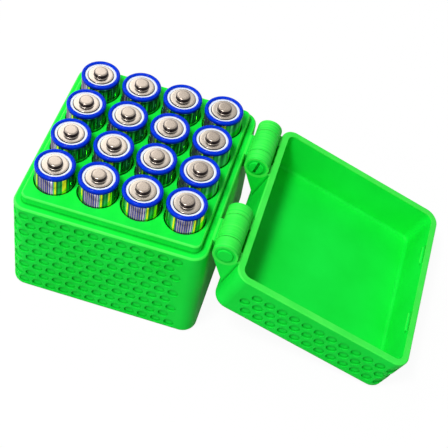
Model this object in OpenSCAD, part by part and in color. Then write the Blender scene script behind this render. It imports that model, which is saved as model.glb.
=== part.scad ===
// Storage case for round cells: a printed body with a grid of pockets, a hollow
// lid that turns on two pinned hinges, and the cells that stand in the pockets.
// It is drawn open, with the far edge of the lid's roof resting on the ground.
// X runs from the catch side to the hinge side, Z is up, and the origin is the
// middle of the body's bottom face. All sizes are in millimetres.

/* [Cells] */
// Diameter of a cell's can
cell_d = 14.5; // [13:0.1:15]
// Length of a cell, from its base to the tip of its button
cell_len = 50.5; // [46:0.5:60]
// Diameter of the terminal button
button_d = 5.3; // [4:0.1:6]
// Height of the terminal button above the plastic ring
button_h = 1.4; // [1:0.1:2.2]
// Thickness of the plastic ring's bead at the cell's top edge
ring_t = 1.4; // [1.2:0.1:2.4]
// Cells along each side of the grid
cells_per_side = 4; // [2:1:5]

/* [Pockets] */
// Play between a cell and its pocket, all round
cell_play = 0.3; // [0.2:0.05:0.8]
// Wall between two neighbouring pockets
pocket_wall = 0.9; // [0.8:0.1:3]
// Depth of a pocket
pocket_depth = 40.7; // [32:0.1:45]
// Floor under the pockets
floor_t = 7.2; // [2:0.1:8]
// Wall between the outer pockets and the raised block's hinge and catch sides
side_margin = 1.3; // [1.2:0.1:4]
// Wall between the outer pockets and the raised block's front and back
front_margin = 3.7; // [1.2:0.1:6]

/* [Body] */
// Height of the raised block above the ledge
block_h = 3.6; // [3.6:0.2:8]
// Radius of the upright corners, outside
corner_r = 5.5; // [5:0.5:10]
// Radius of the ledge's outer edge
ledge_edge_r = 1; // [0.4:0.1:2]
// Radius of the block's top edge
block_edge_r = 0.8; // [0.3:0.1:1.5]
// Radius of the edge round the base
base_edge_r = 1.5; // [0.5:0.1:2]

/* [Lid] */
// Thickness of the lid's walls
lid_wall = 2.5; // [2:0.1:4]
// Thickness of the lid's roof
roof_t = 2.4; // [1.6:0.1:4]
// Room between the buttons and the closed lid's roof
headroom = 4.5; // [0.5:0.1:8]
// Play between the lid's walls and the raised block
lid_play = 0.3; // [0.2:0.05:0.6]
// Gap between the closed lid's rim and the ledge
rim_gap = 0.2; // [0.1:0.05:0.5]
// Radius of the roof's outer edge
roof_edge_r = 2.5; // [1:0.1:4]
// Radius of the fillet between the roof and the walls, inside
roof_fillet_r = 1.5; // [0.5:0.1:2]
// Radius of the rim's outer edge
rim_edge_r = 0.5; // [0.2:0.1:1]

/* [Dimples] */
// Diameter of a dimple
dimple_d = 3.9; // [2:0.1:4.2]
// Depth of a dimple
dimple_depth = 0.6; // [0.3:0.1:1.2]
// Spacing of the dimples along a row, about
dimple_spacing = 5.1; // [4.8:0.1:8]
// Spacing of the rows
row_spacing = 4.6; // [4.2:0.05:5]
// Distance from the ledge to the first row
first_row = 3.8; // [3:0.2:8]
// Room kept free under the last row
last_row_room = 3.5; // [3.2:0.1:8]
// Distance from the hinge side to the ends of the longer rows
plain_side = 9.4; // [8:0.1:20]

/* [Hinges] */
// Diameter of a hinge barrel
barrel_d = 9.4; // [8:0.1:11]
// Length of a hinge barrel
barrel_len = 21; // [15:0.5:24]
// Distance between the middles of the two hinges
hinge_spread = 43.5; // [34:0.5:46]
// Length of each of the lid's two knuckles in a hinge
lid_knuckle = 5; // [3:0.1:6]
// Gap between two knuckles of a hinge
knuckle_gap = 0.2; // [0.2:0.05:0.5]
// Gap between a barrel and the walls beside it
barrel_gap = 1; // [0.6:0.1:3]
// Height of the gussets that tie the lid's knuckles to its wall
gusset_h = 14; // [8:0.5:15]
// Height of the gusset under the body's knuckle
body_gusset_h = 7; // [6:0.5:15]
// Diameter of a hinge pin
pin_d = 6; // [4:0.1:6.4]
// Play between a pin and the body's knuckle, all round
pin_play = 0.08; // [0.05:0.01:0.1]
// Play between a pin and the lid's knuckles, all round
pin_seat_play = 0.03; // [0.02:0.01:0.05]
// How far each end of a pin stands out of the barrel
pin_proud = 0.5; // [0.1:0.1:1]
// Width of the screwdriver slot in a pin
slot_w = 1.1; // [0.8:0.1:1.6]
// Depth of the screwdriver slot
slot_depth = 1.3; // [0.8:0.1:2]
// Lean of the slot from upright
slot_lean = 14; // [0:1:90]
// Radius of the edge round each end of a pin
pin_edge_r = 0.6; // [0.2:0.1:1]

/* [Catch] */
// Length of a catch bead
bead_len = 9; // [6:0.5:14]
// Radius of a catch bead's round section
bead_r = 0.8; // [0.6:0.1:1.2]
// How far a bead stands out of the lid's wall
bead_out = 0.7; // [0.5:0.05:0.9]
// Distance between the middles of the two beads
bead_spread = 33; // [20:1:44]
// Height of the beads above the lid's rim
bead_up = 2; // [1.6:0.1:2.4]
// Play between a bead and its groove in the block, all round
catch_play = 0.2; // [0.1:0.05:0.4]

/* [Hidden] */
$fn = 64;

// Grid of pockets
cell_r = cell_d / 2;
pocket_d = cell_d + 2 * cell_play;
pitch = pocket_d + pocket_wall;
grid_half = (cells_per_side - 1) / 2 * pitch;

// Half sizes in plan as [x, y], from the pockets outwards
block_half = [1, 1] * (grid_half + pocket_d / 2) + [side_margin, front_margin];
lid_inner_half = block_half + [1, 1] * lid_play;
case_half = lid_inner_half + [1, 1] * lid_wall;
straight = case_half - [1, 1] * corner_r;
lid_inner_r = corner_r - lid_wall;
block_corner_r = lid_inner_r - lid_play;

// Heights, from the ground up
block_top = floor_t + pocket_depth;
ledge_z = block_top - block_h;
rim_z = ledge_z + rim_gap;
cell_top = floor_t + cell_len;
lid_h = cell_top + headroom + roof_t - rim_z;
lid_top = rim_z + lid_h;

// Hinge axis, and the angle at which the rounded roof edge meets the ground
barrel_r = barrel_d / 2;
axis_out = barrel_r + barrel_gap;
axis_x = case_half[0] + axis_out;
axis_z = ledge_z + rim_gap / 2;
reach = axis_out + 2 * case_half[0] - roof_edge_r;
rise = lid_top - axis_z - roof_edge_r;
open_angle = 180 + asin((axis_z - roof_edge_r) / norm([reach, rise])) - atan2(rise, reach);
body_knuckle = barrel_len - 2 * lid_knuckle - 2 * knuckle_gap;
hinge_root = lid_wall - 0.2;

// Catch, at the lid's closed place
bead_x = -lid_inner_half[0] + bead_out - bead_r;
bead_z = rim_z + bead_up;

// Dimple rows, along the front, the catch side and the back
side_len = 2 * straight[1];
arc_len = corner_r * PI / 2;
front_len = 2 * case_half[0] - plain_side - corner_r;
row_len = 2 * front_len + 2 * arc_len + side_len;
dimples = round(row_len / dimple_spacing);
dimple_step = row_len / dimples;
body_rows = 1 + floor((ledge_z - first_row - last_row_room) / row_spacing);
lid_rows = floor((lid_h - 2 * roof_edge_r) / row_spacing);
lid_first_row = rim_z + (lid_h - (lid_rows - 1) * row_spacing) / 2;
eps = 0.01;

CELLS = [for (row = [1:cells_per_side], col = [1:cells_per_side]) [row, col]];
function cell_name(rc) = str("cell_", rc[0], "_", rc[1]);

case_green = [0.13, 0.85, 0.2];

// Quarter of a disc that rounds an edge
module quarter(r) {
    intersection() {
        circle(r);
        translate([-eps, -eps]) square(r + 2 * eps);
    }
}

// Half section of a slab, from its middle line out to x, with rounded edges
module slab_side(x, h, top_r, base_r) {
    translate([0, base_r]) square([x, h - top_r - base_r]);
    if (top_r > 0) {
        translate([0, h - top_r - eps]) square([x - top_r, top_r + eps]);
        translate([x - top_r, h - top_r]) quarter(top_r);
    }
    if (base_r > 0) {
        square([x - base_r, base_r + eps]);
        translate([x - base_r, base_r]) mirror([0, 1]) quarter(base_r);
    }
}

// Sweeps the section drawn as a child round a rectangle with the given half sizes
module swept(half) {
    for (turn = [0:90:270]) {
        corner = turn % 180 == 0 ? half : [half[1], half[0]];
        rotate(turn) translate([corner[0], corner[1], 0]) {
            rotate_extrude(angle = 90) children();
            rotate([90, 0, 0]) linear_extrude(2 * corner[1]) children();
        }
    }
}

// Slab standing on z = 0, with round upright corners and rounded edges
module slab(half, h, upright_r, top_r = 0, base_r = 0) {
    inner = half - [1, 1] * upright_r;
    swept(inner) slab_side(upright_r, h, top_r, base_r);
    translate([-inner[0], -inner[1], 0]) cube([2 * inner[0], 2 * inner[1], h]);
}

// Hollow tray with its open side down on z = 0, for the lid's walls and roof
module tray() {
    swept(straight) difference() {
        slab_side(corner_r, lid_h, roof_edge_r, rim_edge_r);
        translate([0, -lid_h])
            slab_side(lid_inner_r, 2 * lid_h - roof_t, roof_fillet_r, 0);
    }
    translate([-straight[0], -straight[1], lid_h - roof_t])
        cube([2 * straight[0], 2 * straight[1], roof_t]);
}

// Place on the case's outline at a distance s along a dimple row: [x, y, outward angle]
function on_outline(s) =
    s < front_len ? [case_half[0] - plain_side - s, -case_half[1], -90]
    : s < front_len + arc_len ?
        on_corner(-1, -90 - (s - front_len) / arc_len * 90)
    : s < front_len + arc_len + side_len ?
        [-case_half[0], s - front_len - arc_len - straight[1], 180]
    : s < front_len + 2 * arc_len + side_len ?
        on_corner(1, 180 - (s - front_len - arc_len - side_len) / arc_len * 90)
    : [s - row_len + case_half[0] - plain_side, case_half[1], 90];

function on_corner(side, angle) = [
    -straight[0] + corner_r * cos(angle),
    side * straight[1] + corner_r * sin(angle),
    angle];

// Cutters for one row of dimples; a shifted row starts half a step along
module dimple_row(z, shifted) {
    for (i = [0:dimples - (shifted ? 1 : 0)]) {
        place = on_outline((i + (shifted ? 0.5 : 0)) * dimple_step);
        translate([place[0], place[1], z]) rotate([0, 0, place[2]])
            rotate([0, 90, 0])
                translate([0, 0, -dimple_depth]) cylinder(d = dimple_d, h = 2 * dimple_depth, $fn = 24);
    }
}

// Section of a knuckle round the origin, with its gusset on the wall to the left:
// way is 1 for a gusset that goes up and -1 for one that goes down
module knuckle_section(way, gusset) {
    foot = [-axis_out, gusset];
    touch = atan2(foot[1], foot[0]) - acos(barrel_r / norm(foot));
    corners = [
        [0, 0],
        barrel_r * [cos(touch), sin(touch)],
        foot,
        foot - [hinge_root, 0],
        [-axis_out - hinge_root, rim_gap]];
    circle(barrel_r);
    polygon([for (c = corners) [c[0], way * c[1]]]);
}

// Knuckle that reaches from y to y + len
module knuckle(y, len, way, gusset) {
    translate([axis_x, y + len, axis_z]) rotate([90, 0, 0])
        linear_extrude(len) knuckle_section(way, gusset);
}

// Bore for a pin along the hinge axis
module pin_bore(play) {
    translate([axis_x, -case_half[1], axis_z]) rotate([-90, 0, 0])
        cylinder(d = pin_d + 2 * play, h = 2 * case_half[1]);
}

// Round-ended rod along Y at a catch, grown by play
module catch_rod(play) {
    half = bead_len / 2 - bead_r;
    for (side = [-1, 1]) translate([bead_x, side * bead_spread / 2, bead_z]) {
        translate([0, half, 0]) rotate([90, 0, 0]) cylinder(r = bead_r + play, h = 2 * half);
        for (end = [-1, 1]) translate([0, end * half, 0]) sphere(bead_r + play);
    }
}

// Turns what is drawn on the closed lid to its open place
module opened() {
    translate([axis_x, 0, axis_z]) rotate([0, open_angle, 0])
        translate([-axis_x, 0, -axis_z]) children();
}

module case_body() {
    color(case_green) difference() {
        union() {
            slab(case_half, ledge_z, corner_r, ledge_edge_r, base_edge_r);
            translate([0, 0, ledge_z - block_h])
                slab(block_half, 2 * block_h, block_corner_r, block_edge_r);
            for (side = [-1, 1])
                knuckle(side * hinge_spread / 2 - body_knuckle / 2, body_knuckle, -1, body_gusset_h);
        }
        for (rc = CELLS) at_pocket(rc) cylinder(d = pocket_d, h = pocket_depth + 1);
        for (row = [0:body_rows - 1])
            dimple_row(ledge_z - first_row - row * row_spacing, row % 2 == 1);
        pin_bore(pin_play);
        catch_rod(catch_play);
    }
}

module lid() {
    color(case_green) opened() {
        difference() {
            union() {
                translate([0, 0, rim_z]) tray();
                for (side = [-1, 1], end = [0, 1])
                    knuckle(side * hinge_spread / 2 - barrel_len / 2
                        + end * (barrel_len - lid_knuckle), lid_knuckle, 1, gusset_h);
            }
            for (row = [0:lid_rows - 1])
                dimple_row(lid_first_row + row * row_spacing, row % 2 == 0);
            pin_bore(pin_seat_play);
        }
        catch_rod(0);
    }
}

// Hinge pin along Y, slotted at the end that faces the gap between the hinges
module hinge_pin(side) {
    len = barrel_len + 2 * pin_proud;
    color(case_green) translate([axis_x, side * hinge_spread / 2, axis_z])
        rotate([side * 90, 0, 0]) difference() {
            translate([0, 0, -len / 2])
                rotate_extrude() slab_side(pin_d / 2, len, pin_edge_r, pin_edge_r);
            translate([0, 0, len / 2]) rotate(-side * slot_lean)
                cube([slot_w, 2 * pin_d, 2 * slot_depth], center = true);
        }
}

// Puts what is drawn on the floor of one pocket of the grid
module at_pocket(rc) {
    translate([(rc[1] - 1) * pitch - grid_half, (rc[0] - 1) * pitch - grid_half, floor_t])
        children();
}

// One sealed cell: can, plastic ring, washer and cap with its button
module cell(rc) {
    ring_top = cell_len - button_h;
    ring_r = ring_t / 2;
    can_foot = 0.4;
    washer_r = cell_r - ring_t;
    color([0.1, 0.2, 0.75]) at_pocket(rc) rotate_extrude() {
        square([cell_r - 2.4, can_foot + eps]);
        polygon([
            [0, can_foot],
            [cell_r - 1, can_foot],
            [cell_r, can_foot + 1],
            [cell_r, ring_top - ring_r],
            [0, ring_top - ring_r]]);
        translate([cell_r - ring_r, ring_top - ring_r]) circle(ring_r);
        square([washer_r, ring_top - 0.4]);
        polygon([
            [0, can_foot],
            [button_d / 2 + 0.5, can_foot],
            [button_d / 2 + 0.5, ring_top - 0.4],
            [button_d / 2, ring_top],
            [button_d / 2, cell_len - 0.5],
            [button_d / 2 - 0.5, cell_len],
            [0, cell_len]]);
    }
}

case_body();
lid();
hinge_pin(-1);  // hinge_pin_front
hinge_pin(1);  // hinge_pin_rear
for (rc = CELLS) cell(rc);
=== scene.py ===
# %% [markdown]
# # A printed case for sixteen battery cells
# The object is a bright green printed case. Sixteen cells stand in a block of round
# pockets, and a hollow lid lies open beside them on two pinned hinges.
#
# The printed parts, with their dimples, hinges and catches, are finished solids in the
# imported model. This script loads that model as a fixed frame, softens and paints the
# printed parts, and builds each cell again in the layers that a real one has: foil
# wrap, plastic ring, washer and steel cap.

# %% Load the frame
import math

import bmesh
import bpy
from mathutils import Matrix, Vector


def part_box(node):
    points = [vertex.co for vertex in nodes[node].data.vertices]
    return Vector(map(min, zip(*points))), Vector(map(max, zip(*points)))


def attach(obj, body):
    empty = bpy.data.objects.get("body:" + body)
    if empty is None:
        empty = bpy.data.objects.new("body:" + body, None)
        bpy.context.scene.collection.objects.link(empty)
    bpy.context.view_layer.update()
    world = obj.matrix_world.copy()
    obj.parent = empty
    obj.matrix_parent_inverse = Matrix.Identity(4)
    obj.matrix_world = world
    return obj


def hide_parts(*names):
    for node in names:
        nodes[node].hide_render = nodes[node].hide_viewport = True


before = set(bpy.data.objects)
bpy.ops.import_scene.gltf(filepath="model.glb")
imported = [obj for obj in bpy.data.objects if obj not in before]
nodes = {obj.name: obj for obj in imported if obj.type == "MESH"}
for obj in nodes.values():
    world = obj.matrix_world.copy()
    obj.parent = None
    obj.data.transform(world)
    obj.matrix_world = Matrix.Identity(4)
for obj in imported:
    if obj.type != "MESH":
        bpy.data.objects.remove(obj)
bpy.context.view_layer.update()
scene = bpy.context.scene
MM = 0.001
print("CAD nodes:", len(nodes))

# %% [markdown]
# ## The camera
# The photo looks down at the case from the front, with the picture turned a little, as
# with a camera held by hand. A camera could be pointed with a Track To constraint, but
# that has no roll. Here three angles give the three directions of the camera, and a
# point between body and lid stays at the middle of the picture. The lens is worked out
# for a square picture of 448 pixels.

# %% Camera
PICTURE = 448
AZIMUTH, ELEVATION, ROLL = 6.87, 50.36, 11.14
FOCAL_PX = 1175.6
DISTANCE = 0.4334
TARGET = Vector((0.0358, -0.0070, 0.030))


def camera_turn(azimuth, elevation, roll):
    """Right, up and back directions of a camera, from its angles in degrees."""
    a, e, r = (math.radians(v) for v in (azimuth, elevation, roll))
    back = Vector((math.sin(a) * math.cos(e), -math.cos(a) * math.cos(e), math.sin(e)))
    right = Vector((math.cos(a), math.sin(a), 0))
    up = back.cross(right)
    return right * math.cos(r) + up * math.sin(r), up * math.cos(r) - right * math.sin(r), back


right, up, back = camera_turn(AZIMUTH, ELEVATION, ROLL)
lens_data = bpy.data.cameras.new("camera")
lens_data.sensor_width = 36
lens_data.lens = FOCAL_PX / PICTURE * lens_data.sensor_width
lens_data.clip_start, lens_data.clip_end = 0.01, 20
camera = bpy.data.objects.new("camera", lens_data)
scene.collection.objects.link(camera)
turn = Matrix((right, up, back)).transposed().to_4x4()
camera.matrix_world = Matrix.Translation(TARGET + back * DISTANCE) @ turn
scene.camera = camera
print("lens in mm:", round(lens_data.lens, 1))

# %% [markdown]
# ## The lamps
# The photo is a studio shot on white, so every light is a soft square. A small one high
# in front is the main light and gives the dimples and barrels their form. A wide one low
# in front evens the walls that face the camera, a third lifts the left side, and one
# behind draws bright lines along the rounded edges. One big lamp would be simpler, but
# it leaves the front walls dark. The watts are set so that a colour renders about as it
# is written.

# %% Lamps
scene.view_settings.view_transform = "Standard"
AIM_X = 0.03
# Place, height that it aims at, side of the square, all in metres, and watts
LAMPS = {
    "key_lamp": ((-0.34, -0.64, 1.54), 0.02, 0.35, 25.0),
    "front_lamp": ((-0.20, -1.50, 0.58), 0.03, 1.00, 7.5),
    "left_lamp": ((-1.50, 0.00, 0.55), 0.03, 0.80, 8.0),
    "rear_lamp": ((-0.60, 1.08, 1.14), 0.03, 0.70, 5.0),
}
for name, (place, aim_height, size, watts) in LAMPS.items():
    data = bpy.data.lights.new(name, "AREA")
    data.size, data.energy = size, watts
    lamp = bpy.data.objects.new(name, data)
    scene.collection.objects.link(lamp)
    lamp.location = place
    lamp.rotation_mode = "QUATERNION"
    ray = Vector((AIM_X, 0, aim_height)) - Vector(place)
    lamp.rotation_quaternion = ray.to_track_quat("-Z", "Y")
    print(name, "is", round(ray.length, 2), "m away")

# %% [markdown]
# ## Helpers for node trees
# The world, the ground and every finish are made of nodes. Each node could be added and
# joined by hand, at three lines apiece. A small class does that instead, so that each
# finish below reads as a short list of steps: a plain value goes into a socket, and
# another node's output is linked to it.


# %% A node tree
class Nodes:
    """A node tree, with short ways to add nodes and to join them."""

    def __init__(self, tree):
        self.tree = tree

    def give(self, socket, value):
        """Link an output to the socket, or set the socket to a plain value."""
        if isinstance(value, bpy.types.NodeSocket):
            self.tree.links.new(value, socket)
        else:
            socket.default_value = value

    def node(self, kind, **inputs):
        made = self.tree.nodes.new("ShaderNode" + kind)
        for key, value in inputs.items():
            self.give(made.inputs[key], value)
        return made

    def math(self, operation, a, b=0.0, c=0.0):
        made = self.tree.nodes.new("ShaderNodeMath")
        made.operation = operation
        for socket, value in zip(made.inputs, (a, b, c)):
            self.give(socket, value)
        return made.outputs[0]

    def mapped(self, value, start=(0.0, 1.0), end=(0.0, 1.0)):
        """A value carried from one range to another, and held at its ends."""
        made = self.node("MapRange", Value=value)
        for key, number in zip(("From Min", "From Max", "To Min", "To Max"), start + end):
            made.inputs[key].default_value = number
        return made.outputs["Result"]


print("node helpers are ready")


# %% Colours in a node tree
class ColourNodes(Nodes):
    """A node tree, with noise, ramps and mixes as well."""

    def noise(self, place, scale, detail):
        """How strong a noise is at a place, about 0.3 to 0.7."""
        return self.node("TexNoise", Vector=place, Scale=scale, Detail=detail).outputs["Fac"]

    def ramp(self, value, stops):
        """Colours along a value, given as (position, colour) pairs."""
        made = self.tree.nodes.new("ShaderNodeValToRGB")
        elements = made.color_ramp.elements
        while len(elements) < len(stops):
            elements.new(0.5)
        for element, (position, colour) in zip(elements, stops):
            element.position, element.color = position, colour
        self.give(made.inputs[0], value)
        return made.outputs[0]

    def mix(self, share, a, b):
        """Colour between a and b by a share from 0 to 1."""
        made = self.tree.nodes.new("ShaderNodeMix")
        made.data_type = "RGBA"
        for socket, value in zip((made.inputs[0], made.inputs[6], made.inputs[7]), (share, a, b)):
            self.give(socket, value)
        return made.outputs[2]

    def mix_shaders(self, share, a, b):
        made = self.node("MixShader")
        for socket, value in zip(made.inputs, (share, a, b)):
            self.give(socket, value)
        return made.outputs[0]


print("colour helpers are ready")


# %% A finish
class Finish(ColourNodes):
    """A material: one Principled shader and the nodes that feed it."""

    def __init__(self, name):
        self.material = bpy.data.materials.new(name)
        self.material.use_nodes = True
        super().__init__(self.material.node_tree)
        self.shader = self.tree.nodes["Principled BSDF"]

    def set(self, **inputs):
        for key, value in inputs.items():
            self.give(self.shader.inputs[key.replace("_", " ")], value)

    def bump(self, height, strength, distance):
        """Small relief from a height, the distance in millimetres."""
        made = self.node("Bump", Height=height, Strength=strength, Distance=distance * MM)
        self.set(Normal=made.outputs["Normal"])


def screen(r, g, b):
    """A colour as it reads on screen, 0 to 255, turned into light values."""
    shares = (v / 255 for v in (r, g, b))
    light = (v / 12.92 if v <= 0.04045 else ((v + 0.055) / 1.055) ** 2.4 for v in shares)
    return (*light, 1.0)


print("half grey on screen as light:", round(screen(128, 128, 128)[0], 3))

# %% [markdown]
# ## The white background
# In the photo the paper is pure white right up to the case. Lamps strong enough for that
# would bleach the case. So the Light Path node tells apart who looks: the camera, and
# rays that metal or glass sends on, see white, and all other rays get a dim world and a
# dark paper that throw little light back at the case.

# %% World
WHITE = (1, 1, 1, 1)
SKY_LIGHT = 0.20


def seen_directly(n):
    """1 for rays from the camera, and for those that a mirror or glass sends on."""
    path = n.node("LightPath")
    first = n.math("MAXIMUM", path.outputs["Is Camera Ray"], path.outputs["Is Glossy Ray"])
    return n.math("MAXIMUM", first, path.outputs["Is Transmission Ray"])


world = bpy.data.worlds.new("studio")
scene.world = world
world.use_nodes = True
sky = ColourNodes(world.node_tree)
sky_light = sky.tree.nodes["Background"]
sky_light.inputs["Color"].default_value = WHITE
sky_light.inputs["Strength"].default_value = SKY_LIGHT
sky_seen = sky.node("Background", Color=WHITE)
mixed = sky.mix_shaders(seen_directly(sky), sky_light.outputs[0], sky_seen.outputs[0])
sky.give(sky.tree.nodes["World Output"].inputs["Surface"], mixed)
print("world light:", SKY_LIGHT)

# %% [markdown]
# ### The ground
# The paper is one flat face. It glows for the camera and is also a matt surface, so it
# still takes the soft shadow of the case. In a reflection it glows less, because the
# satin walls beside the lid would turn milky otherwise. It lies a hair below the case,
# so that the two bottoms don't lie in one plane.

# %% Ground
GROUND_HALF = 4.0
PAPER_UNSEEN, PAPER_SEEN = 0.12, 0.88
GLOW_SEEN, GLOW_MIRRORED = 0.95, 0.15

bm = bmesh.new()
bmesh.ops.create_grid(bm, x_segments=1, y_segments=1, size=GROUND_HALF)
ground_mesh = bpy.data.meshes.new("ground")
bm.to_mesh(ground_mesh)
bm.free()
ground = bpy.data.objects.new("ground", ground_mesh)
ground.location.z = -0.02 * MM
scene.collection.objects.link(ground)

paper = Finish("white_paper")
seen = seen_directly(paper)
paper.set(Base_Color=paper.mapped(seen, end=(PAPER_UNSEEN, PAPER_SEEN)), Roughness=0.9)
glow = paper.node("Emission", Color=WHITE)
mirrored = paper.node("LightPath").outputs["Is Glossy Ray"]
share = paper.math("MULTIPLY", seen, paper.mapped(mirrored, end=(GLOW_SEEN, GLOW_MIRRORED)))
mixed = paper.mix_shaders(share, paper.shader.outputs[0], glow.outputs[0])
paper.give(paper.tree.nodes["Material Output"].inputs["Surface"], mixed)
ground_mesh.materials.append(paper.material)
print("ground is", 2 * GROUND_HALF, "m wide")

# %% [markdown]
# ## Green printed plastic
# The case is one strong green. A printed part is never quite even, so a large soft
# noise lets the green drift a little. It stays close to flat, because the photo shows
# no streaks. The material is built up over the next cells: plain green, painted
# highlights, painted shade, skin.

# %% Plain green
green = Finish("green_plastic")
place = green.node("TexCoord").outputs["Object"]
drift = green.noise(place, 45.0, 3.0)
base = green.ramp(drift, [(0.3, screen(14, 218, 56)), (0.7, screen(20, 229, 66))])
print("green plastic: plain colour")

# %% [markdown]
# ### Places with a painted highlight
# The rims, the catch beads and the hinge barrels get a pale painted highlight.
# Vertex paint could mark these places, but they are all plain planes and cylinders, so
# the material finds them by the piece's own coordinates. The open lid leans, so its rim
# and beads are measured on two turned axes that start at the hinge: along the lid, and
# across it.

# %% Where the rims and the barrels are, in millimetres
low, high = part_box("hinge_pin_front")
HINGE_X, HINGE_Z = (low.x + high.x) / 2 / MM, (low.z + high.z) / 2 / MM
LID_LEAN = math.radians(19.81)
# Heights of the block's rim and of the ledge's, on the body only, which ends at this X
BODY_RIMS = ((47.15, 47.86), (43.5, 44.26))
BODY_REACH = 37.0
# Half the thickness of the lid's rim, and how far from the hinge it starts
RIM_HALF, RIM_START = 0.55, 5.2
# Middle radius and half width of the skin of a barrel
BARREL_SKIN = (4.45, 0.6)
print("hinge axis:", round(HINGE_X, 2), round(HINGE_Z, 2))

# %% Measures round the hinge
axes = green.node("SeparateXYZ", Vector=place)
x, y, z = (green.math("MULTIPLY", axes.outputs[name], 1 / MM) for name in "XYZ")
from_x, from_z = green.math("SUBTRACT", x, HINGE_X), green.math("SUBTRACT", z, HINGE_Z)


def turned(f, a, b, angle):
    """The first measure's axis, turned by an angle towards the second's."""
    return f.math("MULTIPLY_ADD", a, math.cos(angle), f.math("MULTIPLY", b, math.sin(angle)))


def length(f, a, b):
    """The distance that two square measures make together."""
    return f.math("SQRT", f.math("MULTIPLY_ADD", a, a, f.math("MULTIPLY", b, b)))


along = turned(green, from_x, from_z, -LID_LEAN)
across = turned(green, from_z, from_x, LID_LEAN)
from_axis = length(green, from_x, from_z)
print("lid leans", round(math.degrees(LID_LEAN), 2), "degrees")

# %% Rims
past_hinge = green.math("GREATER_THAN", along, RIM_START)
rims = green.math("MULTIPLY", green.math("COMPARE", across, 0.0, RIM_HALF), past_hinge)
on_body = green.math("LESS_THAN", x, BODY_REACH)
for low, high in BODY_RIMS:
    band = green.math("COMPARE", z, (low + high) / 2, (high - low) / 2)
    rims = green.math("MAXIMUM", rims, green.math("MULTIPLY", band, on_body))
print("rims found:", 1 + len(BODY_RIMS))

# %% [markdown]
# ### Barrels and catch beads
# The barrels show fine uneven rings, like a turned part, and their painted highlight
# follows them. A noise that reads only the Y of a place is the same all round the barrel
# and makes such rings. Each catch bead gets a pale painted highlight on its back and a
# painted shadow line where it meets the wall.

# %% Barrels
rings = green.noise(green.node("CombineXYZ", Y=y).outputs[0], 1.4, 2.0)
rings = green.mapped(rings, (0.35, 0.65), (0.2, 1.0))
barrels = green.math("MULTIPLY", green.math("COMPARE", from_axis, *BARREL_SKIN), rings)
print("barrel skin in mm:", [round(BARREL_SKIN[0] + s * BARREL_SKIN[1], 2) for s in (-1, 1)])

# %% Catch beads
# Middle of a bead along and across the lid and along Y, and half its length
BEAD_ALONG, BEAD_ACROSS, BEAD_Y, BEAD_HALF = 74.6, -1.9, 16.5, 4.5
# Radius and half width of the bead's back, and of the line at its root
BEAD_BACK, BEAD_ROOT = (0.8, 0.06), (1.1, 0.22)

side = green.math("SUBTRACT", along, BEAD_ALONG)
from_bead = length(green, side, green.math("SUBTRACT", across, BEAD_ACROSS))
in_length = green.math("COMPARE", green.math("ABSOLUTE", y), BEAD_Y, BEAD_HALF)
# The back of each bead gets a painted highlight, and a thin ring round its root a painted shadow
# line.
bead_highlights, bead_root_shadows = (
    green.math("MULTIPLY", green.math("COMPARE", from_bead, *skin), in_length)
    for skin in (BEAD_BACK, BEAD_ROOT)
)
rims = green.math("MAXIMUM", rims, bead_highlights)
print("bead length in mm:", 2 * BEAD_HALF)

# %% [markdown]
# ### Painted highlights and painted shade
# The marked places get a pale painted highlight and a smoother skin, by an uneven share
# from a noise. Corners, creases and dimples get painted shade. The Ambient Occlusion node
# finds them, as it tells how open a point is within a millimetre, and with it each dimple
# keeps a painted dark side.

# %% Painted highlights and painted shade
BARREL_HIGHLIGHT, NOOK_SHADE, BEAD_ROOT_SHADOW = 1.15, 1.35, 0.45
# Painted highlight: a pale green on the rims, the back of each bead and the barrels, by a noisy
# share.
highlight_strength = green.mapped(green.noise(place, 160.0, 3.0), (0.3, 0.7), (0.24, 0.44))
highlit = green.math("MAXIMUM", rims, green.math("MULTIPLY", barrels, BARREL_HIGHLIGHT))
base = green.mix(green.math("MULTIPLY", highlit, highlight_strength), base, screen(104, 252, 100))

# Painted shade: a dark green mixed in where the Ambient Occlusion node finds a crease, a dimple or
# a bead's root, less on the barrels.
nook = green.node("AmbientOcclusion", Distance=1.0 * MM)
nook.samples = 8
painted_shade = green.math("MULTIPLY_ADD", nook.outputs["AO"], -NOOK_SHADE, NOOK_SHADE)
painted_shade = green.math("MULTIPLY", painted_shade, green.math("MULTIPLY_ADD", barrels, -0.7, 1.0))
painted_shade = green.math("MULTIPLY_ADD", bead_root_shadows, BEAD_ROOT_SHADOW, painted_shade)
base = green.mix(painted_shade, base, screen(0, 120, 18))
green.set(Base_Color=base)
print("green plastic: worn places and nooks")

# %% [markdown]
# ### The skin
# The skin is satin. Fine noise makes it shine more in some places than in others, and
# the printer's layers are a wave along Z that is only just deep enough to stretch the
# highlights. Real layers could be modelled as steps, but at a few tenths of a millimetre
# each they would cost a great many faces and show no better.

# %% Skin of the green plastic
POLISH = -0.14
skin = green.noise(place, 900.0, 4.0)
shine = green.mapped(skin, (0.3, 0.7), (0.44, 0.54))
smooth = green.math("MULTIPLY", green.math("MAXIMUM", rims, barrels), POLISH)
layers = green.node("TexWave", Vector=place, Scale=800.0, Distortion=0.6, Detail=1.0)
layers.bands_direction = "Z"
height = green.math("ADD", green.math("MULTIPLY", layers.outputs["Fac"], 0.5), skin)
green.bump(height, 0.12, 0.06)
green.set(Roughness=green.math("ADD", shine, smooth), Specular_IOR_Level=0.07)

PRINTED = ("case_body", "lid", "hinge_pin_front", "hinge_pin_rear")
for name in PRINTED:
    nodes[name].data.materials.clear()
    nodes[name].data.materials.append(green.material)
print("printed parts:", ", ".join(PRINTED))

# %% [markdown]
# ## Soft edges on the printed parts
# A printer's nozzle leaves no knife edges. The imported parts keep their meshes, and
# modifiers finish them: Weld joins the loose triangles, a planar Decimate makes whole
# faces of the flat areas, Bevel rounds what is still sharp, such as the edges of the
# dimples, and Weighted Normal keeps the flats flat.

# %% Soft edges
EDGE_WIDTH = 0.1 * MM


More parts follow.
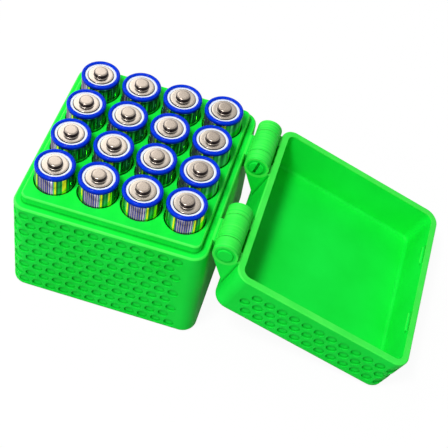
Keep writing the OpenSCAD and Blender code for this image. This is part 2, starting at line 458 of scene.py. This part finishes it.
def soften(piece):
    weld = piece.modifiers.new("join", "WELD")
    weld.merge_threshold = 1e-6
    flat = piece.modifiers.new("whole_faces", "DECIMATE")
    flat.decimate_type = "DISSOLVE"
    flat.angle_limit = math.radians(0.5)
    edge = piece.modifiers.new("round_edges", "BEVEL")
    edge.width, edge.segments, edge.profile = EDGE_WIDTH, 2, 0.5
    edge.limit_method, edge.angle_limit = "ANGLE", math.radians(35)
    edge.harden_normals = False
    normals = piece.modifiers.new("even_shading", "WEIGHTED_NORMAL")
    normals.keep_sharp = True
    for face in piece.data.polygons:
        face.use_smooth = True


for name in PRINTED:
    soften(nodes[name])
    print(name, "has", len(nodes[name].modifiers), "modifiers")

# %% [markdown]
# ## The cells, layer by layer
# A cell is round, so each layer is a half section that spins round the cell's axis. A
# stack of cylinders would be quicker, but it has none of the rolled edges that catch the
# light. All heights count from the foot of a cell, in millimetres.

# %% Sizes of a cell
low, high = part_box("cell_1_1")
CELL_R = (high.x - low.x) / 2 / MM
CELL_LEN = (high.z - low.z) / MM
BUTTON_H = 1.4
RING_TOP = CELL_LEN - BUTTON_H
LAYER_FOOT = RING_TOP - 1.5
SPIN_STEPS = 56
print("cell radius and length:", round(CELL_R, 2), round(CELL_LEN, 2))


# %% Half sections and spinning
def arc(centre, radius, start, end, steps):
    """Points of an arc in the half section, angles in degrees, as (radius, height)."""
    points = []
    for i in range(steps + 1):
        a = math.radians(start + (end - start) * i / steps)
        points.append((centre[0] + radius * math.cos(a), centre[1] + radius * math.sin(a)))
    return points


def spun(section, closed):
    """A turned bmesh from a half section of (radius, height) points in millimetres."""
    bm = bmesh.new()
    verts = [bm.verts.new((r * MM, 0, h * MM)) for r, h in section]
    pairs = list(zip(verts, verts[1:])) + ([(verts[-1], verts[0])] if closed else [])
    edges = [bm.edges.new(pair) for pair in pairs]
    bmesh.ops.spin(
        bm, geom=verts + edges, cent=(0, 0, 0), axis=(0, 0, 1),
        angle=math.tau, steps=SPIN_STEPS, use_merge=True, use_duplicate=False,
    )
    bmesh.ops.remove_doubles(bm, verts=bm.verts, dist=1e-6)
    bmesh.ops.recalc_face_normals(bm, faces=bm.faces)
    return bm


print("spin steps:", SPIN_STEPS)

# %% [markdown]
# ### Section of the wrapped can
# The can is the largest layer. It stands on the flat disc of its negative end, has a
# rolled lower edge, and tucks in under the ring at its top. The section starts and ends
# on the axis, so its spin closes by itself.

# %% Wrap section
WRAP_R = CELL_R - 0.15
wrap_section = [(0, 0), (4.6, 0), (4.7, 0.4), (6.0, 0.4)]
wrap_section += arc((WRAP_R - 1, 1.45), 1.0, -80, 0, 4)
wrap_section += [(WRAP_R, RING_TOP - 1.9), (WRAP_R - 0.4, RING_TOP - 1.6), (0, RING_TOP - 1.6)]
print("wrap section:", len(wrap_section), "points")

# %% [markdown]
# ### Sections of ring and washer
# The blue ring is rounded on top and reaches down over the edge of the can. The white
# washer lies inside it, a little lower. Both are closed loops that never touch the axis.

# %% Ring and washer sections
RING_W, RING_SIDE = 1.44, 1.7
RING_IN = CELL_R - RING_W
ring_section = [(RING_IN, LAYER_FOOT)]
ring_section += arc((RING_IN + 0.45, RING_TOP - 0.55), 0.45, 180, 95, 4)
ring_section += arc((CELL_R - 0.8, RING_TOP - 0.8), 0.8, 85, 0, 7)
ring_section += arc((CELL_R - 0.3, RING_TOP - RING_SIDE + 0.3), 0.3, 0, -90, 3)

DISC_R, DISC_TOP = 4.75, RING_TOP - 0.30
WASHER_TOP = RING_TOP - 0.62
washer_section = [(DISC_R + 0.15, LAYER_FOOT), (RING_IN + 0.2, LAYER_FOOT)]
washer_section += [(RING_IN + 0.2, WASHER_TOP), (DISC_R + 0.25, WASHER_TOP)]
washer_section += [(DISC_R + 0.15, WASHER_TOP - 0.1)]
print("ring and washer sections:", len(ring_section), len(washer_section), "points")

# %% [markdown]
# ### Section of the cap
# The cap is pressed from one sheet of steel: a flat disc, a tight fillet, a neck that
# draws in a little, and a button with a soft shoulder. Its top is the highest point of
# the whole object, so it ends exactly at the cell's length.

# %% Cap section
NECK_R, BUTTON_R, SHOULDER_R = 2.55, 2.65, 0.60
cap_section = (
    [(0, RING_TOP - 1.45), (DISC_R, RING_TOP - 1.45)]
    + arc((DISC_R - 0.12, DISC_TOP - 0.12), 0.12, 0, 90, 3)
    + [(4.0, DISC_TOP + 0.02), (BUTTON_R + 0.4, DISC_TOP + 0.02)]
    + arc((BUTTON_R + 0.22, DISC_TOP + 0.22), 0.20, -90, -165, 4)
    + [(NECK_R, DISC_TOP + 0.95)]
    + arc((BUTTON_R - SHOULDER_R, CELL_LEN - SHOULDER_R - 0.02), SHOULDER_R, 0, 85, 7)
    + [(1.6, CELL_LEN), (0, CELL_LEN - 0.04)]
)
print("cap section:", len(cap_section), "points")

# %% [markdown]
# ### A map that turns with the cell
# The wrap's print has to turn with its cell, and object coordinates would stay square to
# the case. So each layer carries its own UV map, which runs once round the cell in X and
# up its whole length in Y. In the material it is turned back into millimetres.


# %% The cell's own map
def round_and_up(bm):
    """UV map that runs round the axis in X and up it in Y, both from 0 to 1."""
    layer = bm.loops.layers.uv.new("round_and_up")
    for face in bm.faces:
        middle = face.calc_center_median()
        centre = math.atan2(middle.y, middle.x)
        for loop in face.loops:
            p = loop.vert.co
            angle = math.atan2(p.y, p.x) if p.xy.length > 1e-6 else centre
            angle += math.tau * round((centre - angle) / math.tau)
            loop[layer].uv = (angle / math.tau + 0.5, p.z / (CELL_LEN * MM))


def own_map(f):
    """The two axes of a layer's own map: millimetres round the cell and up it."""
    uv = f.node("UVMap")
    uv.uv_map = "round_and_up"
    axes = f.node("SeparateXYZ", Vector=uv.outputs["UV"])
    around = f.math("MULTIPLY_ADD", axes.outputs["X"], math.tau * WRAP_R, -math.pi * WRAP_R)
    return around, f.math("MULTIPLY", axes.outputs["Y"], CELL_LEN)


print("way round the wrap in mm:", round(math.tau * WRAP_R, 1))

# %% [markdown]
# ### Blue ring and white washer
# The ring is glossy plastic. In the photo its side is darker than its rounded top, so its
# colour follows the height, as painted shade on the side. The washer is white card under
# lacquer, with a little fibre.

# %% Blue ring
# The darker low stops are painted shade on the ring's side.
RING_BLUES_AND_SHADE = [
    (0.0, screen(0, 14, 96)), (0.45, screen(0, 30, 168)),
    (0.75, screen(2, 52, 203)), (1.0, screen(2, 48, 196)),
]
blue = Finish("blue_plastic")
skin = blue.noise(blue.node("TexCoord").outputs["Object"], 700.0, 3.0)
height = blue.mapped(own_map(blue)[1], (RING_TOP - RING_SIDE, RING_TOP))
base = blue.ramp(height, RING_BLUES_AND_SHADE)
base = blue.mix(blue.math("MULTIPLY", skin, 0.3), base, screen(0, 40, 190))
blue.bump(skin, 0.05, 0.05)
blue.set(Base_Color=base, Roughness=0.16, Specular_IOR_Level=0.04)
print("blue plastic is ready")

# %% White washer
white = Finish("white_washer")
fibre = white.noise(white.node("TexCoord").outputs["Object"], 1500.0, 4.0)
base = white.ramp(fibre, [(0.3, screen(218, 226, 238)), (0.7, screen(228, 234, 244))])
white.bump(fibre, 0.08, 0.05)
white.set(Base_Color=base, Roughness=0.35)
print("white washer is ready")

# %% [markdown]
# ### Nickel cap
# The cap is bare metal with a fine haze. Its flats are warm and bright, and its neck and
# the groove round its foot mirror the dark gaps about them. The neighbours that would
# make those dark mirrors are small and far apart here, so the dark neck and groove are a
# painted reflection in the colour, by height.

# %% Nickel cap
# Heights above the disc, with their colours; the dark ones are painted reflection
NICKEL_AND_REFLECTIONS = [
    (-0.16, screen(50, 38, 32)), (-0.07, screen(158, 149, 138)), (0.06, screen(162, 152, 141)),
    (0.20, screen(34, 28, 32)), (1.40, screen(40, 34, 36)), (1.63, screen(148, 137, 126)),
]
BELOW = 0.5
nickel = Finish("nickel_steel")
grain = nickel.noise(nickel.node("TexCoord").outputs["Object"], 2500.0, 5.0)
height = nickel.mapped(own_map(nickel)[1], (DISC_TOP - BELOW, CELL_LEN))
span = CELL_LEN - DISC_TOP + BELOW
base = nickel.ramp(height, [((h + BELOW) / span, colour) for h, colour in NICKEL_AND_REFLECTIONS])
nickel.bump(grain, 0.02, 0.03)
nickel.set(Base_Color=base, Metallic=1.0, Roughness=nickel.mapped(grain, end=(0.24, 0.32)))
print("nickel steel is ready")

# %% [markdown]
# ### Foil wrap
# The can is wrapped in printed foil, so its colours sit on a metal and mirror the
# plastic round them. The print is a plain design: metallic green, a silver panel with
# thin upright blue lines, a yellow line on each side of it and one wider yellow stripe.
# Soft streaks that run up the can are a painted reflection, light and dark, and the green
# darkens under the ring as a painted shadow.

# %% Print on the foil
PANEL_HALF, LINE_PITCH = 3.1, 0.8
foil = Finish("foil_wrap")
around, height = own_map(foil)
aside = foil.math("ABSOLUTE", around)
panel = foil.math("LESS_THAN", aside, PANEL_HALF)
border = foil.math("COMPARE", aside, PANEL_HALF + 0.75, 0.3)
stripe = foil.math("COMPARE", around, PANEL_HALF + 4.0, 0.75)
line = foil.math("FRACT", foil.math("DIVIDE", around, LINE_PITCH))
lines = foil.math("COMPARE", line, 0.5, 0.22)
# Painted reflection: a noise that reads only the way round the can makes upright streaks.
reflection_streaks = foil.noise(foil.node("CombineXYZ", X=around).outputs[0], 0.55, 2.0)
print("lines in the panel:", round(2 * PANEL_HALF / LINE_PITCH))

# %% Colours of the foil
# The top stop up the can is a painted shadow under the ring; the light and dark stops round the
# can are painted reflection.
GREENS_AND_RING_SHADOW = [(0.0, screen(2, 172, 40)), (0.6, screen(2, 156, 48)), (1.0, screen(2, 66, 50))]
REFLECTED_GREENS = [(0.40, screen(0, 58, 36)), (0.5, screen(2, 152, 44)), (0.60, screen(90, 214, 120))]
REFLECTED_SILVERS = [(0.38, screen(84, 76, 78)), (0.5, screen(142, 134, 136)), (0.62, screen(206, 204, 210))]
REFLECTION_SHARE = 0.55

up_the_can = foil.mapped(height, (0.75 * CELL_LEN, RING_TOP - RING_SIDE))
greens = foil.mix(REFLECTION_SHARE, foil.ramp(up_the_can, GREENS_AND_RING_SHADOW), foil.ramp(reflection_streaks, REFLECTED_GREENS))
silver = foil.mix(lines, foil.ramp(reflection_streaks, REFLECTED_SILVERS), screen(30, 44, 128))
base = foil.mix(foil.math("MAXIMUM", border, stripe), greens, screen(206, 222, 20))
foil.set(Base_Color=foil.mix(panel, base, silver), Metallic=0.85, Roughness=0.08)
print("foil wrap is ready")

# %% [markdown]
# ## Filling the case
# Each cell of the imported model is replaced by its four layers, turned by an angle of its
# own, because nobody lines the labels up when filling a case. The layers ride on the
# case, and their place goes into their mesh, so each object stays at the origin.


# %% A finished piece
def finished(name, bm, material):
    """An object from a bmesh, shaded smooth, with its place in its mesh."""
    mesh = bpy.data.meshes.new(name)
    bm.to_mesh(mesh)
    mesh.materials.append(material)
    mesh.shade_smooth()
    piece = bpy.data.objects.new(name, mesh)
    scene.collection.objects.link(piece)
    return piece


print("each layer's object sits at the origin")

# %% Fill the case
LAYERS = {
    "wrap": (wrap_section, False, foil.material),
    "ring": (ring_section, True, blue.material),
    "washer": (washer_section, True, white.material),
    "cap": (cap_section, False, nickel.material),
}
# Degrees from facing the front, row by row from the front
PANEL_TURNS = (-10, -4, 2, 10, -52, -46, -58, -44, -56, -48, -60, -45, -50, -48, -57, -42)
FRONT = -90

cell_names = sorted(n for n in nodes if n.startswith("cell_"))
for cell, panel_turn in zip(cell_names, PANEL_TURNS):
    low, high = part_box(cell)
    foot = Vector(((low.x + high.x) / 2, (low.y + high.y) / 2, low.z))
    spin_by = Matrix.Rotation(math.radians(FRONT + panel_turn), 4, "Z")
    for layer, (section, closed, material) in LAYERS.items():
        bm = spun(section, closed)
        if layer != "washer":
            round_and_up(bm)
        bmesh.ops.transform(bm, matrix=Matrix.Translation(foot) @ spin_by, verts=bm.verts)
        piece = finished(f"{cell}_{layer}", bm, material)
        bm.free()
        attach(piece, "case")
        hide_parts(cell)
print("cells built:", len(cell_names), "in", len(LAYERS), "layers each")

# %% [markdown]
# ## The last update
# The view layer is brought up to date.

# %% Finish
bpy.context.view_layer.update()
